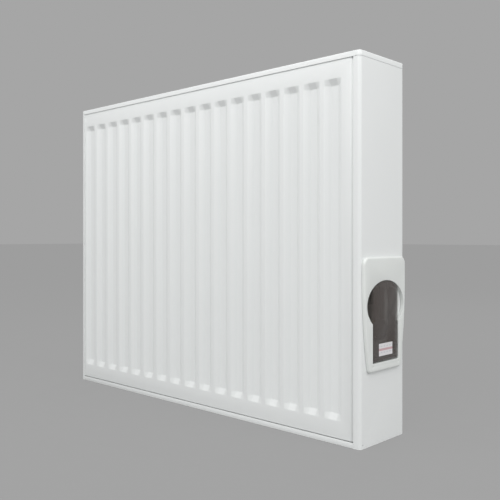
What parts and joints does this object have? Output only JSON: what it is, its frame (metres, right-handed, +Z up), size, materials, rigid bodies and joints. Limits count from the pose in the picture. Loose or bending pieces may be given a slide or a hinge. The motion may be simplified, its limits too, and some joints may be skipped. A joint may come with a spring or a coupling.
{
  "type": "panel radiator",
  "caption": "Cased steel panel radiator with pressed upright grooves, a top grille, and a valve behind a smoked flap in one side panel.",
  "frame": {"origin": "bottom centre of the whole object's box, on the surface that it stands on", "axes": "+X along the radiator towards the end with the valve, +Y from the room side to the wall, +Z up"},
  "size_m": [0.6044, 0.111, 0.5],
  "materials": {
    "white_steel": "satin white stoving enamel",
    "primed_steel": "light grey primer",
    "galvanised_steel": "galvanised",
    "bright_steel": "bright spring steel",
    "nickel_plate": "nickel plate",
    "brass": "turned brass",
    "white_plastic": "satin moulded",
    "smoked_plastic": "see-through smoked brown",
    "grey_plastic": "fine grained",
    "label_film": "printed film, plain",
    "seal_rubber": "moulded"
  },
  "bodies": {
    "radiator": {"front_panel_outer_sheet": "white_steel", "front_panel_inner_sheet": "white_steel", "rear_panel_inner_sheet": "white_steel", "rear_panel_outer_sheet": "white_steel", "front_convector": "white_steel", "rear_convector": "white_steel", "top_grille": "white_steel", "bottom_cover": "white_steel", "side_panel_left": "white_steel", "side_panel_right": "white_steel", "hanging_lug_bottom_left": "white_steel", "hanging_lug_bottom_right": "white_steel", "hanging_lug_top_left": "white_steel", "hanging_lug_top_right": "white_steel", "side_bracket_bottom_left": "galvanised_steel", "side_bracket_bottom_right": "galvanised_steel", "side_bracket_top_left": "galvanised_steel", "side_bracket_top_right": "galvanised_steel", "connection_plate": "galvanised_steel", "clip_bottom_front_left": "bright_steel", "clip_bottom_front_right": "bright_steel", "clip_bottom_rear_left": "bright_steel", "clip_bottom_rear_right": "bright_steel", "clip_top_front_left": "bright_steel", "clip_top_front_right": "bright_steel", "clip_top_rear_left": "bright_steel", "clip_top_rear_right": "bright_steel", "connector_bottom_left": "primed_steel", "connector_bottom_right": "primed_steel", "connector_top_left": "primed_steel", "connector_top_right": "primed_steel", "feed_pipe": "primed_steel", "riser_pipe": "primed_steel", "air_vent_plug": "nickel_plate", "blanking_plug": "nickel_plate", "valve_body": "nickel_plate", "union_nut_bottom": "nickel_plate", "union_nut_top": "nickel_plate", "feed_connection": "nickel_plate", "valve_insert": "brass", "flap_hinge_pin": "bright_steel", "valve_spring": "bright_steel", "bezel": "white_plastic", "recess_housing": "white_plastic", "insert_o_ring": "seal_rubber", "vent_gasket": "seal_rubber", "plug_gasket": "seal_rubber"},
    "flap": {"service_flap": "smoked_plastic", "flap_label": "label_film"},
    "knob": {"valve_knob": "grey_plastic"},
    "spindle": {"valve_spindle": "bright_steel", "valve_disc": "seal_rubber"},
    "bleeder": {"bleed_screw": "brass"},
    "outlet": {"vent_collar": "white_plastic"}
  },
  "joints": [
    {"name": "flap_hinge", "type": "hinge", "parent": "radiator", "child": "flap", "pos_m": [0.30015, -0.00175, 0.1084], "axis": [0, 1, 0], "range_deg": [0, 110]},
    {"name": "knob_turn", "type": "hinge", "parent": "radiator", "child": "knob", "pos_m": [0.2925, 0.00225, 0.146], "axis": [1, 0, 0], "range_deg": [-300, 0]},
    {"name": "spindle_slide", "type": "slide", "parent": "radiator", "child": "spindle", "axis": [-1, 0, 0], "range_m": [0, 0.0025], "deforming": ["valve_spring"]},
    {"name": "bleed_turn", "type": "hinge", "parent": "radiator", "child": "bleeder", "pos_m": [-0.29, -0.003, 0.47985], "axis": [-1, 0, 0], "range_deg": [0, 360]},
    {"name": "outlet_turn", "type": "hinge", "parent": "radiator", "child": "outlet", "pos_m": [-0.2925, -0.003, 0.47985], "axis": [-1, 0, 0], "continuous": true}
  ],
  "couplings": [
    {"joint": "spindle_slide", "follows": "knob_turn", "m_per_rad": -0.000477}
  ]
}
